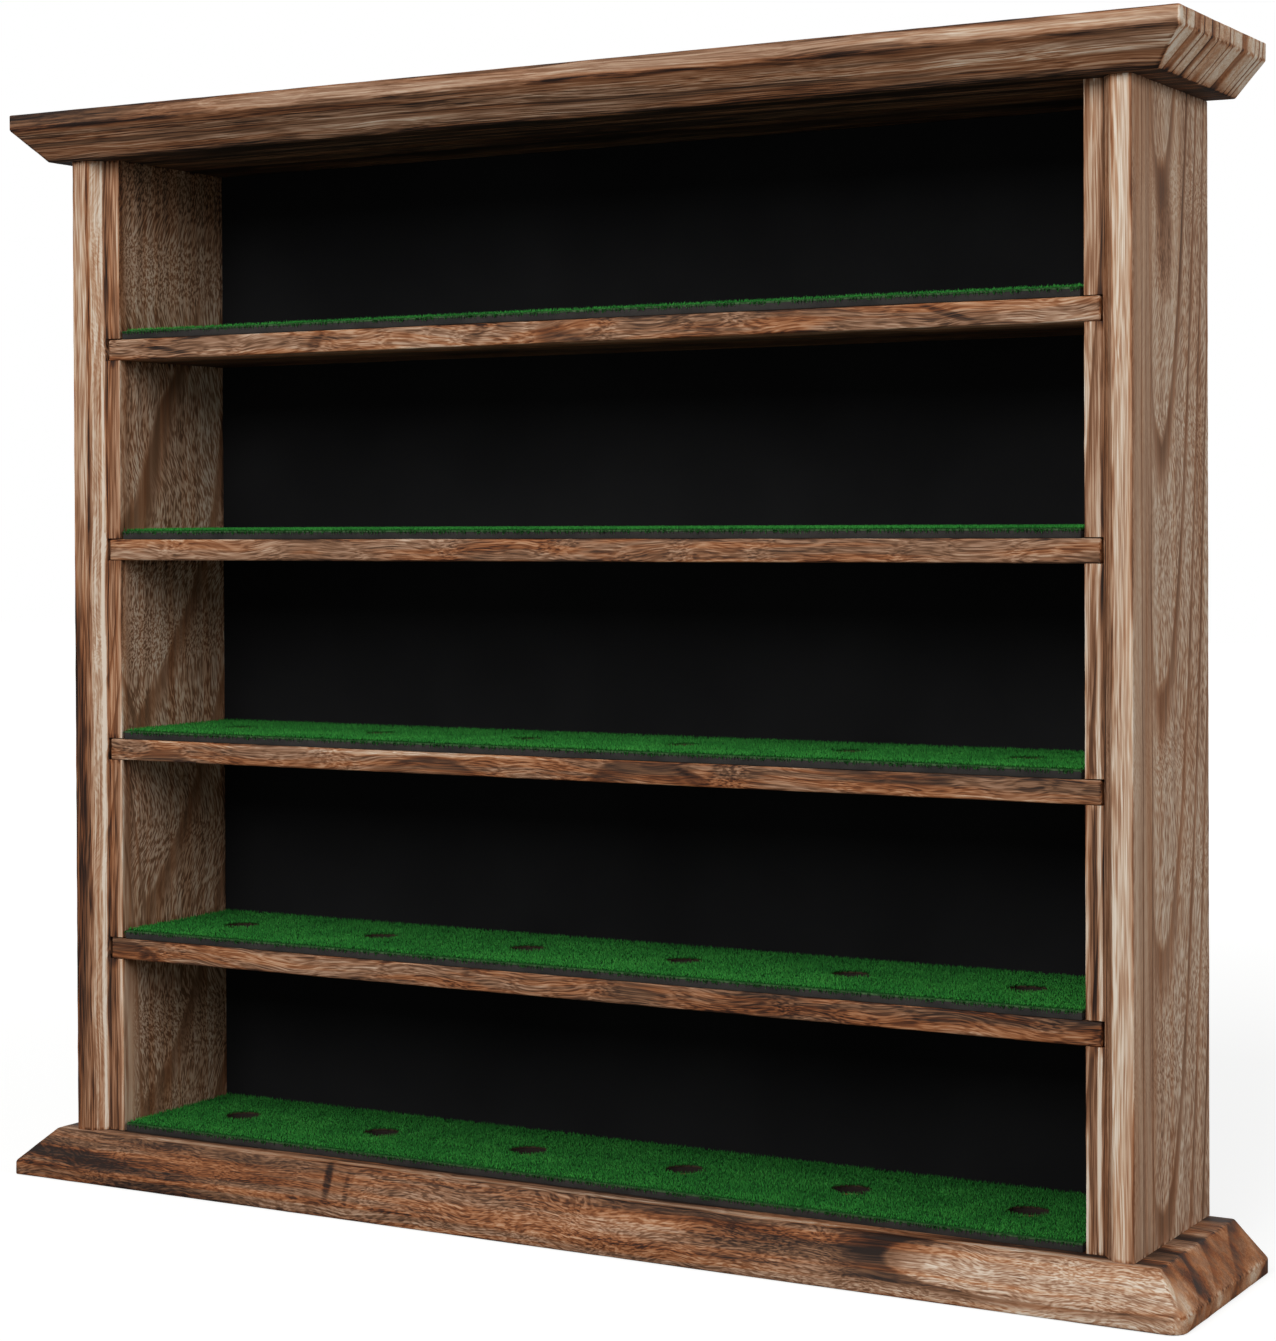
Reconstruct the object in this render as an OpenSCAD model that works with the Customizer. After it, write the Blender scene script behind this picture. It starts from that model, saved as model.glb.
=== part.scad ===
// Display case: five open bays between a crown board and a base board.
// Origin: middle of the footprint, at floor level. +X is right, -Y is the front, +Z is up.

/* [Bays] */
// Clear width between the side panels
bay_w = 318.6; // [240:0.2:480]
// Clear height of each of the four upper bays
bay_h = 56.2; // [50:0.1:80]
// Clear height of the lowest bay
lowest_bay_h = 54.1; // [50:0.1:80]

/* [Side panels] */
// Thickness of a side panel
side_t = 14.7; // [13:0.1:20]
// Depth of a side panel, front to back
side_d = 61.2; // [50:0.2:100]
// Width of the panel's outer front edge, left at full depth
outer_flat = 5.7; // [4:0.1:7]
// Width of the slanted step beside that edge
step_run = 3.9; // [1:0.1:5]
// How far the inner front edge is routed back
step_depth = 4.7; // [2:0.1:8]

/* [Crown and base boards] */
// How far the boards stand out past each side panel
side_overhang = 16.4; // [12:0.2:30]
// How far the boards stand out past the panels in front
front_overhang = 10.9; // [10:0.1:30]
// Height of the crown board's square lip
top_lip = 4.9; // [3:0.1:10]
// Height of the base board's square lip
base_lip = 4.4; // [3:0.1:10]
// Height of the bevel on both boards
bevel_rise = 9.6; // [7:0.1:16]
// Width of the crown board's bevel
top_bevel_run = 8.6; // [4:0.1:10]
// Width of the base board's bevel
base_bevel_run = 9.4; // [4:0.1:10]

/* [Shelves] */
// Thickness of a shelf
shelf_t = 6.6; // [5:0.1:10]
// Depth of the groove that takes a shelf's end
groove_depth = 5.2; // [3:0.1:8]
// Gap between a shelf's end and the bottom of its groove
shelf_end_gap = 0.7; // [0.2:0.1:2]
// Gap over a shelf in its groove
groove_play = 0.2; // [0.1:0.05:0.5]

/* [Back panel] */
// Thickness of the back panel
back_t = 3.2; // [2:0.1:5]
// Width of the rebate in the side panel that takes it
rebate_w = 7.0; // [5:0.1:9]
// Gap round the panel in its rebate and under the crown board
back_play = 0.3; // [0.1:0.05:0.6]

/* [Turf strips] */
// Thickness of the foam strip
foam_t = 2.0; // [1:0.1:4]
// Thickness of the turf strip, pile included
turf_t = 1.6; // [1:0.1:4]
// Gap at each end of a strip
strip_end_gap = 1.0; // [0.3:0.1:3]
// Gap behind a strip
strip_back_gap = 0.5; // [0.3:0.1:3]
// Number of seat holes in a strip
seats = 6; // [3:1:7]
// Diameter of a seat hole
seat_hole_d = 12.5; // [8:0.1:20]

/* [Fixings] */
// Length of a base screw
screw_l = 34; // [26:1:50]
// Diameter of a base screw's shank
screw_d = 3.5; // [3:0.1:5]
// Diameter of a base screw's head
screw_head_d = 7.0; // [6:0.1:10]
// How deep a screw head sits under the base board's face
screw_sink = 0.5; // [0.3:0.1:2]
// Length of a dowel
dowel_l = 24; // [16:1:40]
// Diameter of a dowel
dowel_d = 6.0; // [5:0.1:8]
// How far a dowel stands up into the crown board
dowel_rise = 8.0; // [5:0.1:9]
// Distance of a dowel or screw from the panel's front or back edge
fixing_inset = 14; // [10:0.5:20]
// Length of a back panel nail
nail_l = 14; // [10:0.5:25]
// Diameter of a nail's shank
nail_d = 1.2; // [0.8:0.1:2]
// Diameter of a nail's head
nail_head_d = 2.8; // [2.2:0.1:4]
// Thickness of a nail's head
nail_head_t = 0.6; // [0.4:0.1:1]
// Gap round a screw, dowel or nail in its hole
fixing_fit = 0.05; // [0.02:0.01:0.1]

/* [Hidden] */
$fn = 48;
// A cut runs past the face that it opens by this much
past = 1;

// Rows are counted from the top; the lowest one stands on the base board
rows = 5;
shelves = rows - 1;

// Across
inner_x = bay_w / 2;
outer_x = inner_x + side_t;
board_x = outer_x + side_overhang;
panel_mid_x = (inner_x + outer_x) / 2;
shelf_x = inner_x + groove_depth - shelf_end_gap;
strip_x = inner_x - strip_end_gap;
back_x = inner_x + rebate_w - back_play;
seat_pitch = bay_w / seats;

// Front to back
board_d = side_d + front_overhang;
back_y = board_d / 2;
front_y = -back_y;
side_front_y = front_y + front_overhang;
step_y = side_front_y + step_depth;
back_panel_y = back_y - back_t;
strip_back_y = back_panel_y - strip_back_gap;
seat_y = (step_y + back_panel_y) / 2;
fixing_ys = [side_front_y + fixing_inset, back_y - fixing_inset];

// Up
base_t = base_lip + bevel_rise;
top_t = top_lip + bevel_rise;
row_pitch = bay_h + shelf_t;
function floor_z(row) = row == rows
    ? base_t
    : base_t + lowest_bay_h + shelf_t + (shelves - row) * row_pitch;
function clear_h(row) = row == rows ? lowest_bay_h : bay_h;
side_top_z = floor_z(1) + bay_h;
case_h = side_top_z + top_t;
side_h = side_top_z - base_t;

// Screw heads are countersunk at 90 degrees
screw_head_h = (screw_head_d - screw_d) / 2;
screw_tip_h = 2 * screw_d;
screw_tip_d = 0.4;
recess_w = screw_d / 4;
recess_l = 0.6 * screw_head_d;
recess_depth = 0.6 * screw_head_h;

// Each row has a nail into both side panels half-way up its bay, and each shelf two in its rear edge
side_nail_x = (inner_x + back_x) / 2;
shelf_nail_x = inner_x / 2;

burnt_brown = "#8d6b52";
shelf_brown = "#95735a";
back_black = "#141416";
foam_black = "#2b2b2d";
turf_green = "#1f6e28";
steel_grey = "#9a9c9e";
dowel_tan = "#c9a878";

// Board with a square lip and a bevel on its front and both ends, lip down; its back is square
module bevelled_board(lip, run) {
    t = lip + bevel_rise;
    intersection() {
        translate([0, back_y, 0]) rotate([90, 0, 0]) linear_extrude(board_d)
            polygon([
                [-board_x, 0], [board_x, 0], [board_x, lip],
                [board_x - run, t], [run - board_x, t], [-board_x, lip]
            ]);
        translate([-board_x, 0, 0]) rotate([90, 0, 90]) linear_extrude(2 * board_x)
            polygon([[front_y, 0], [back_y, 0], [back_y, t], [front_y + run, t], [front_y, lip]]);
    }
}

// Places its children at the four corners where fixings go into the side panels
module at_fixings() {
    for (x = [-panel_mid_x, panel_mid_x], y = fixing_ys) translate([x, y, 0]) children();
}

// Screw outline, point up, with its head's face at the height that it is sunk to
module screw_body(grow) {
    translate([0, 0, screw_sink]) rotate_extrude()
        polygon([
            [0, 0], [screw_head_d / 2 + grow, 0], [screw_d / 2 + grow, screw_head_h],
            [screw_d / 2 + grow, screw_l - screw_tip_h], [screw_tip_d / 2 + grow, screw_l + grow],
            [0, screw_l + grow]
        ]);
}

// Hole for a base screw, open below
module screw_hole() {
    screw_body(fixing_fit);
    translate([0, 0, -past]) cylinder(d = screw_head_d + 2 * fixing_fit, h = past + screw_sink);
}

// Dowel, or its hole when grown
module dowel_body(grow) {
    translate([0, 0, side_top_z + dowel_rise - dowel_l - grow])
        cylinder(d = dowel_d + 2 * grow, h = dowel_l + 2 * grow);
}

// Places its children, which point at the front, on each nail's axis at the case's back
module at_nails() {
    for (side = [-1, 1], row = [1 : rows])
        translate([side * side_nail_x, back_y, floor_z(row) + clear_h(row) / 2])
            rotate([90, 0, 0]) children();
    for (side = [-1, 1], row = [1 : shelves])
        translate([side * shelf_nail_x, back_y, floor_z(row) - shelf_t / 2])
            rotate([90, 0, 0]) children();
}

// Nail outline, head at zero and point up
module nail_body(grow) {
    rotate_extrude()
        polygon([
            [0, 0], [nail_head_d / 2 + grow, 0], [nail_head_d / 2 + grow, nail_head_t],
            [nail_d / 2 + grow, nail_head_t], [nail_d / 2 + grow, nail_l - nail_d],
            [0, nail_l + grow]
        ]);
}

// Hole for a nail, open behind
module nail_hole() {
    nail_body(fixing_fit);
    translate([0, 0, -past]) cylinder(d = nail_head_d + 2 * fixing_fit, h = past + nail_head_t / 2);
}

// Seat holes through a row's strips
module seat_holes(row) {
    for (i = [0 : seats - 1])
        translate([(i - (seats - 1) / 2) * seat_pitch, seat_y, floor_z(row) - past])
            cylinder(d = seat_hole_d, h = foam_t + turf_t + 2 * past);
}

// Right-hand side panel; the left one is its mirror image
module side_panel() {
    difference() {
        translate([0, 0, base_t]) linear_extrude(side_h)
            polygon([
                [inner_x, step_y], [outer_x - outer_flat - step_run, step_y],
                [outer_x - outer_flat, side_front_y], [outer_x, side_front_y],
                [outer_x, back_y], [inner_x + rebate_w, back_y],
                [inner_x + rebate_w, back_panel_y], [inner_x, back_panel_y]
            ]);
        for (row = [1 : shelves])
            translate([inner_x - past, side_front_y - past, floor_z(row) - shelf_t])
                cube([
                    groove_depth + past, back_panel_y - side_front_y + past,
                    shelf_t + groove_play
                ]);
        at_fixings() {
            screw_hole();
            dowel_body(fixing_fit);
        }
        at_nails() nail_hole();
    }
}

module top_board() {
    color(burnt_brown) difference() {
        translate([0, 0, case_h]) mirror([0, 0, 1]) bevelled_board(top_lip, top_bevel_run);
        at_fixings() dowel_body(fixing_fit);
    }
}

module base_board() {
    color(burnt_brown) difference() {
        bevelled_board(base_lip, base_bevel_run);
        at_fixings() screw_hole();
    }
}

module left_side() {
    color(burnt_brown) mirror([1, 0, 0]) side_panel();
}

module right_side() {
    color(burnt_brown) side_panel();
}

module back_panel() {
    color(back_black) difference() {
        translate([-back_x, back_panel_y, base_t])
            cube([2 * back_x, back_t, side_h - back_play]);
        at_nails() nail_hole();
    }
}

module shelf(row) {
    color(shelf_brown) difference() {
        translate([-shelf_x, step_y, floor_z(row) - shelf_t])
            cube([2 * shelf_x, back_panel_y - step_y, shelf_t]);
        at_nails() nail_hole();
    }
}

module foam_strip(row) {
    color(foam_black) difference() {
        translate([-strip_x, step_y, floor_z(row)])
            cube([2 * strip_x, strip_back_y - step_y, foam_t]);
        seat_holes(row);
    }
}

module turf_strip(row) {
    color(turf_green) difference() {
        translate([-strip_x, step_y, floor_z(row) + foam_t])
            cube([2 * strip_x, strip_back_y - step_y, turf_t]);
        seat_holes(row);
    }
}

module base_screws() {
    color(steel_grey) at_fixings() difference() {
        screw_body(0);
        for (turn = [0, 90]) rotate([0, 0, turn])
            translate([-recess_l / 2, -recess_w / 2, screw_sink - past])
                cube([recess_l, recess_w, past + recess_depth]);
    }
}

module top_dowels() {
    color(dowel_tan) at_fixings() dowel_body(0);
}

module back_nails() {
    color(steel_grey) at_nails() nail_body(0);
}

top_board();
base_board();
left_side();
right_side();
back_panel();
shelf(1);  // shelf_1
shelf(2);  // shelf_2
shelf(3);  // shelf_3
shelf(4);  // shelf_4
foam_strip(1);  // foam_strip_1
foam_strip(2);  // foam_strip_2
foam_strip(3);  // foam_strip_3
foam_strip(4);  // foam_strip_4
foam_strip(5);  // foam_strip_5
turf_strip(1);  // turf_strip_1
turf_strip(2);  // turf_strip_2
turf_strip(3);  // turf_strip_3
turf_strip(4);  // turf_strip_4
turf_strip(5);  // turf_strip_5
base_screws();
top_dowels();
back_nails();
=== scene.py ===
"""Looks of a free-standing display case.

Two bevelled boards, two stepped side panels, four shelves and a black back panel make the case.
Each row's floor is a foam strip under a turf strip, both with round seat holes.
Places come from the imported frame. Fields named _mm and the finishes' lengths are millimetres.
"""

import logging
import math
from collections.abc import Callable
from dataclasses import dataclass
from enum import Enum
from functools import partial

import bmesh
import bpy
import numpy as np
from mathutils import Matrix, Vector


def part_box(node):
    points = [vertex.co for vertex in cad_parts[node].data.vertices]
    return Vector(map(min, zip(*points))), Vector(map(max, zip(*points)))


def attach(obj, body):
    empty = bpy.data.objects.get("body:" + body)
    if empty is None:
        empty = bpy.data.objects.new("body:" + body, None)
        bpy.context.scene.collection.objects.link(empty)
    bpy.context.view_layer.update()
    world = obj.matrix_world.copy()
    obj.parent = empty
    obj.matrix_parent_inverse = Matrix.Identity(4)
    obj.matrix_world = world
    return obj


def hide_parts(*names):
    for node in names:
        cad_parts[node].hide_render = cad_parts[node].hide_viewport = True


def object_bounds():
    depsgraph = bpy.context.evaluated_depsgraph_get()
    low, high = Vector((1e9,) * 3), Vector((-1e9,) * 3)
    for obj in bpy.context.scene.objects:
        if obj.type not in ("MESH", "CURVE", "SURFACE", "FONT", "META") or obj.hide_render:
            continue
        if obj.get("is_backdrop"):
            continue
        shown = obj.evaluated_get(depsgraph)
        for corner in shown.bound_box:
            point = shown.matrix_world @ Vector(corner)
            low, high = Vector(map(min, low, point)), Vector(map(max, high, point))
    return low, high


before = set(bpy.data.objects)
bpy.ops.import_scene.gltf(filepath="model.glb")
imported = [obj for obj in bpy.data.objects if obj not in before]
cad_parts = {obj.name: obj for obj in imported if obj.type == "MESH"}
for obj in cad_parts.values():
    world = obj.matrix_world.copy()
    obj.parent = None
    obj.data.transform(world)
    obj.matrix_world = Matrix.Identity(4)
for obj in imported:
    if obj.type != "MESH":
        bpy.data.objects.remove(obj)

MM = 0.001
BODY = "root"
PICTURE_W, PICTURE_H = 1276, 1341
ROWS = (1, 2, 3, 4, 5)
SHELF_ROWS = (1, 2, 3, 4)
WHITE = (1, 1, 1, 1)

# Places this close, in metres, are one place; a face this square to an axis looks along it
NEAR = 1e-5
SQUARE = 0.9

# Edges are eased above the first angle, and shaded sharp above the second
SHARP = math.radians(25)
SOFT = math.radians(35)

# Lengths and widths of the cells in the burnt wood's patterns, in mm
RIPPLE_MM = (16.0, 4.0)
FIBRE_MM = (30.0, 0.45)
GROOVE_MM = (15.0, 0.42)
STRIPE_MM = (130.0, 5.0)
SCORCH_MM = (85.0, 16.0)
BLUSH_MM = (90.0, 3.0)
SCUFF_MM = (26.0, 1.6)
BURN_SWAY_MM = 0.8

# Colours of the wood from scorched to bare, in its brown and in its red-brown stripes
TONES = (0.0, 0.18, 0.36, 0.54, 0.72, 0.86, 1.0)
BROWNS = ("#231a16", "#493428", "#70503a", "#947058", "#b5957c", "#cbb49f", "#dfd1c0")
RUSTS = ("#24140d", "#532e1b", "#87502e", "#a8724d", "#c29776", "#d3b99f", "#e2d4c3")

Adder = Callable[..., bpy.types.Node]
Stops = tuple[tuple[float, str], ...]
Place = tuple[float, float, float]

log = logging.getLogger("display_case")


class Grain(Enum):
    """Which way a board's fibres run; the value is the axis number."""

    ALONG_X = 0
    ALONG_Z = 2

    def spread(self, along: float, across: float) -> Place:
        """Turns the size of a pattern's cell into cells per millimetre on each axis.

        Args:
            along: The cell's length along the grain in mm.
            across: Its width in mm.

        Returns:
            The number of cells in a millimetre of X, Y and Z.
        """
        cells = [1 / across] * 3
        cells[self.value] = 1 / along
        return tuple(cells)


class Pick(Enum):
    """What edit mode selects; the value is Blender's three switches."""

    CORNERS = (True, False, False)
    EDGES = (False, True, False)
    FACES = (False, False, True)


def linear(code: str) -> tuple[float, float, float, float]:
    """Turns an sRGB hex colour, such as "#8d6b52", into linear RGBA."""
    shares = [int(code[i:i + 2], 16) / 255 for i in (1, 3, 5)]
    return (*(s / 12.92 if s <= 0.04045 else ((s + 0.055) / 1.055) ** 2.4 for s in shares), 1.0)


def add_node(
    tree: bpy.types.NodeTree, kind: str, sockets: dict | tuple = (), stops: Stops = (),
    **settings: object,
) -> bpy.types.Node:
    """Adds one node with its settings and links.

    Args:
        tree: Node tree that gets the node.
        kind: Blender's name for the node type, less its "ShaderNode".
        sockets: Inputs in order, or input names or numbers to them. An input is a value, an output
            socket, or a node for its first output.
        stops: Places and hex colours, where the node has a colour ramp.
        settings: The node's own properties.

    Returns:
        The new node.
    """
    node = tree.nodes.new("ShaderNode" + kind)
    for name, value in settings.items():
        setattr(node, name, value)
    for key, value in sockets.items() if isinstance(sockets, dict) else enumerate(sockets):
        if isinstance(value, bpy.types.Node):
            value = value.outputs[0]
        if isinstance(value, bpy.types.NodeSocket):
            tree.links.new(value, node.inputs[key])
        else:
            node.inputs[key].default_value = value
    if stops:
        ramp = node.color_ramp.elements
        while len(ramp) < len(stops):
            ramp.new(1.0)
        for element, (place, code) in zip(ramp, stops):
            element.position = place
            element.color = linear(code)
    return node


def new_material(name: str) -> tuple[bpy.types.Material, Adder, bpy.types.NodeSocket]:
    """Starts a node material.

    Args:
        name: The material's name.

    Returns:
        The material, what adds a node to it, and the socket with the object's own coordinates.
    """
    material = bpy.data.materials.new(name)
    material.use_nodes = True
    material.node_tree.nodes.clear()
    add = partial(add_node, material.node_tree)
    return material, add, add("TexCoord").outputs["Object"]


def surface_of(add: Adder, **sockets: object) -> None:
    """Ends a material in a Principled shader; its inputs have underscores for their spaces."""
    named = {name.replace("_", " "): value for name, value in sockets.items()}
    add("OutputMaterial", {"Surface": add("BsdfPrincipled", named)})


def mottle(add: Adder, spot: object, cell_mm: float, detail: float,
           *colours: Stops) -> tuple[bpy.types.Node, ...]:
    """Lays soft noise over a surface, and gives it with the ramps of colour that it draws."""
    noise = add("TexNoise", {"Vector": spot, "Scale": 1 / (cell_mm * MM), "Detail": detail})
    return (noise, *(add("ValToRGB", {"Fac": noise}, stops=stops) for stops in colours))


def shaded_cuts(add: Adder, spot: object, colour: object, front: float,
             code: str) -> bpy.types.NodeSocket:
    """Darkens a strip's cut edges behind its front one, chiefly the seat holes' walls, as painted
    shade in them.

    Args:
        add: Adds a node to the material.
        spot: Socket with a place in metres.
        colour: The strip's colour at its front edge.
        front: Where that edge lies, in metres.
        code: Hex colour of the painted shade on the cuts behind it.

    Returns:
        The socket with the new colour.
    """
    depth = add("SeparateXYZ", (spot,)).outputs["Y"]
    behind = add("MapRange", (depth, front + 1.5 * MM, front + 3 * MM))
    return add("Mix", {0: behind, 6: colour, 7: linear(code)}, data_type="RGBA").outputs[2]


@dataclass(frozen=True)
class Patch:
    """A soft-edged place in a board where its figure or its burn differs.

    Attributes:
        place: Its middle, in mm in the case's frame.
        reach: Its half-size along each axis, in mm.
        weight: What it adds in the middle: mm to the rings, or a share to the tone.
        tilt_deg: How it is turned about each axis.
        core: Share of the reach over which it keeps its full weight.
    """

    place: Place
    reach: Place
    weight: float
    tilt_deg: Place = (0.0, 0.0, 0.0)
    core: float = 0.35


@dataclass(frozen=True)
class BurntWood:
    """Torched and wire-brushed paulownia board.

    Each ring starts with pale, open-pored early wood, full of short ticks, and ends in smooth, dark
    late wood with a sharp edge. The flame darkens patches and leaves red-brown stripes, and the
    brush leaves the surface matt, with the pale parts standing proud.

    Attributes:
        name: The material's name.
        grain: Which way the fibres run.
        flat: Number of the axis that the flat-sawn faces look along, where pores show as ticks.
        pith: A point on the tree's centre line, in mm in the case's frame.
        lean: Slope of that line along the two axes across the grain.
        ring_mm: Width of a yearly ring; below 0 where the rings turn their pale side outwards.
        late_from: Share of a ring after which the late wood starts.
        drift_mm: How far the rings wander.
        drift_cell_mm: Length and width of that wandering.
        swells: Bulges in the rings, as beside a knot.
        quiet: Patches that add to the rings' contrast, or take it away below 0.
        smooth: The same for the pores.
        burns_and_shade: Patches that are scorched, or bleached where the weight is above 0, and
            patches of painted shade under the crown and the shelves.
        shift_mm: Moves the board's own pattern, so that no two boards are alike.
        tone: General lightness, from 0, scorched, to 1, bare.
        late_dark: How dark the late wood is.
        scorch: How dark the scattered scorched patches are.
        ticks: How strongly the pores show.
        edge_ticks: How much of that is left on the other faces.
        flat_from: How squarely a face looks along that axis before its pores are ticks.
        tick_mm: Length and width of a pore on a flat-sawn face.
        flow_mm: How far the pores' direction sways on a flat-sawn face.
        flow_cell_mm: Length and width of that sway.
        wave_mm: How far it bends the fibres.
        uneven: How much good and bad years differ in width, in rings.
        streaks: How strongly the fibres show.
        flat_streaks: How much of that is left on flat-sawn faces.
        edge_tone: What the arrises add to the tone.
        end_tone: What end grain adds to the tone.
        end_lines: Above 1, the late wood draws thinner lines on end grain.
        end_dark: How much darker the late wood is there.
        rust: Share of red-brown in the stripes.
        edge_rust: What faces that are not flat-sawn add to that share.
        end_rust: What end grain adds to it.
        arris_rust: What the arrises add to it.
        year_tone: How much paler than the worst year the best one is.
        stripe_tone: What a bleached stripe adds to the tone, and the wood between takes away.
        corner_char_and_shade: How dark the inner corners are painted: char, and painted shade.
        relief_mm: Height of the brushed surface from scorched to bare.
    """

    name: str
    grain: Grain
    flat: int
    pith: Place
    lean: tuple[float, float] = (0.0, 0.0)
    ring_mm: float = 4.5
    late_from: float = 0.45
    drift_mm: float = 3.0
    drift_cell_mm: tuple[float, float] = (140.0, 42.0)
    swells: tuple[Patch, ...] = ()
    quiet: tuple[Patch, ...] = ()
    smooth: tuple[Patch, ...] = ()
    burns_and_shade: tuple[Patch, ...] = ()
    shift_mm: float = 0.0
    tone: float = 0.5
    late_dark: float = 0.34
    scorch: float = 0.2
    ticks: float = 0.36
    edge_ticks: float = 1.0
    flat_from: float = 0.8
    tick_mm: tuple[float, float] = (1.5, 0.36)
    flow_mm: float = 3.0
    flow_cell_mm: tuple[float, float] = (20.0, 12.0)
    wave_mm: float = 1.2
    uneven: float = 0.0
    streaks: float = 0.24
    flat_streaks: float = 1.0
    edge_tone: float = -0.2
    end_tone: float = 0.0
    end_lines: float = 3.0
    end_dark: float = 0.3
    rust: float = 0.6
    edge_rust: float = 0.0
    end_rust: float = 0.4
    arris_rust: float = 0.12
    year_tone: float = 0.08
    stripe_tone: float = 0.07
    corner_char_and_shade: float = 0.36
    relief_mm: float = 0.16

    def pith_line(self) -> Place:
        """Gives the direction of the tree's centre line.

        Returns:
            A vector of length 1.
        """
        slope = list(self.lean)
        slope.insert(self.grain.value, 1.0)
        return tuple(Vector(slope).normalized())

    def noise(self, add: Adder, place: object, cell_mm: tuple[float, float],
              detail: float = 2.0) -> bpy.types.Node:
        """Adds noise stretched along the fibres, with cells of a given length and width."""
        cells = add("VectorMath", (place, self.grain.spread(*cell_mm)), operation="MULTIPLY")
        return add("TexNoise", {"Vector": cells, "Scale": 1.0, "Detail": detail, "Roughness": 0.55})

    def swayed(self, add: Adder, sway: object, place: object, reach_mm: float) -> bpy.types.Node:
        """Pushes a place about by up to a reach, along a noise colour less its mean."""
        return add("VectorMath", (sway, (2 * reach_mm,) * 3, place), operation="MULTIPLY_ADD")

    def patched(self, add: Adder, place: object, total: object,
                patches: tuple[Patch, ...]) -> object:
        """Adds patches to a value.

        Args:
            add: Adds a node to the material.
            place: Socket with a place in mm.
            total: The value that the patches are added to.
            patches: The patches.

        Returns:
            The node that gives the sum.
        """
        for patch in patches:
            offset = add("Mapping", {
                "Vector": place, "Location": patch.place, "Scale": patch.reach,
                "Rotation": tuple(math.radians(a) for a in patch.tilt_deg)},
                vector_type="TEXTURE")
            away = add("VectorMath", (offset,), operation="LENGTH").outputs["Value"]
            extra = add("MapRange", (away, patch.core, 1, patch.weight, 0),
                        interpolation_type="SMOOTHSTEP")
            total = add("Math", (total, extra), operation="ADD")
        return total

    def rings(self, add: Adder, place: object, own: object, pushed: object) -> bpy.types.Node:
        """Counts the rings from the pith out to each point.

        Args:
            add: Adds a node to the material.
            place: Socket with the place in mm.
            own: The same, moved by the board's own shift.
            pushed: The same, pushed about by slow noise.

        Returns:
            A node that gives the number of rings, with the share of the last one as its fraction.
        """
        offset = add("VectorMath", (pushed, self.pith), operation="SUBTRACT")
        lever = add("VectorMath", (offset, self.pith_line()), operation="CROSS_PRODUCT")
        radius = add("VectorMath", (lever,), operation="LENGTH").outputs["Value"]
        radius = add("Math", (self.noise(add, own, RIPPLE_MM), 0.5, radius),
                     operation="MULTIPLY_ADD")
        weather = add("TexNoise", {
            "W": radius, "Scale": 0.6 / abs(self.ring_mm), "Detail": 1.0}, noise_dimensions="1D")
        radius = add("Math", (weather, self.uneven * self.ring_mm, radius),
                     operation="MULTIPLY_ADD")
        radius = self.patched(add, place, radius, self.swells)
        return add("Math", (radius, self.ring_mm), operation="DIVIDE")

    def material(self) -> bpy.types.Material:
        """Builds the board's material.

        Returns:
            The material.
        """
        material, add, spot = new_material(self.name)
        product = {"operation": "MULTIPLY"}
        clamped = {"operation": "MULTIPLY", "use_clamp": True}
        sums = {"operation": "MULTIPLY_ADD"}
        smooth = {"interpolation_type": "SMOOTHSTEP"}
        place = add("Mapping", {"Vector": spot, "Scale": (1 / MM,) * 3})
        own = add("VectorMath", (place, (self.shift_mm,) * 3), operation="ADD")
        drift, sway = (
            add("VectorMath", (self.noise(add, own, cell, 1.0).outputs["Color"], (0.5,) * 3),
                operation="SUBTRACT")
            for cell in (self.drift_cell_mm, self.flow_cell_mm))
        pushed = self.swayed(add, drift, place, self.drift_mm)
        waved = self.swayed(add, sway, pushed, self.wave_mm)
        flowed = self.swayed(add, sway, pushed, self.flow_mm)
        bent = self.swayed(add, sway, place, BURN_SWAY_MM)

        # Which way the face looks: flat-sawn, or end grain
        facing = add("NewGeometry").outputs["Normal"]
        facing = add("VectorMath", (facing,), operation="ABSOLUTE")
        facing = add("SeparateXYZ", (facing,)).outputs
        flat = add("MapRange", (facing[self.flat], self.flat_from - 0.08, self.flat_from + 0.08))
        butt = add("MapRange", (facing[self.grain.value], 0.4, 0.6))

        # Rings: early wood, then late wood up to a sharp edge, and no two years alike
        ring = self.rings(add, place, own, pushed)
        share = add("Math", (ring,), operation="FRACT")
        year = add("Math", (ring,), operation="FLOOR")
        growth = add("TexWhiteNoise", {"W": year}, noise_dimensions="1D")
        late = add("MapRange", (share, self.late_from, 0.94), **smooth)
        edge = add("MapRange", (share, 0.95, 1, 1, 0))
        late = add("Math", (late, edge), **product)
        sharp = add("MapRange", (butt, 0, 1, 1, self.end_lines))
        late = add("Math", (late, sharp), operation="POWER")
        strong = add("MapRange", (growth, 0, 1, 0.45, 1))
        late = add("Math", (late, strong), **product)
        shown = self.patched(add, place, 1.0, self.quiet)
        late = add("Math", (late, shown), **clamped)
        early = add("Math", (1.0, late), operation="SUBTRACT")
        line = add("Math", (late, butt), **product)

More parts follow.
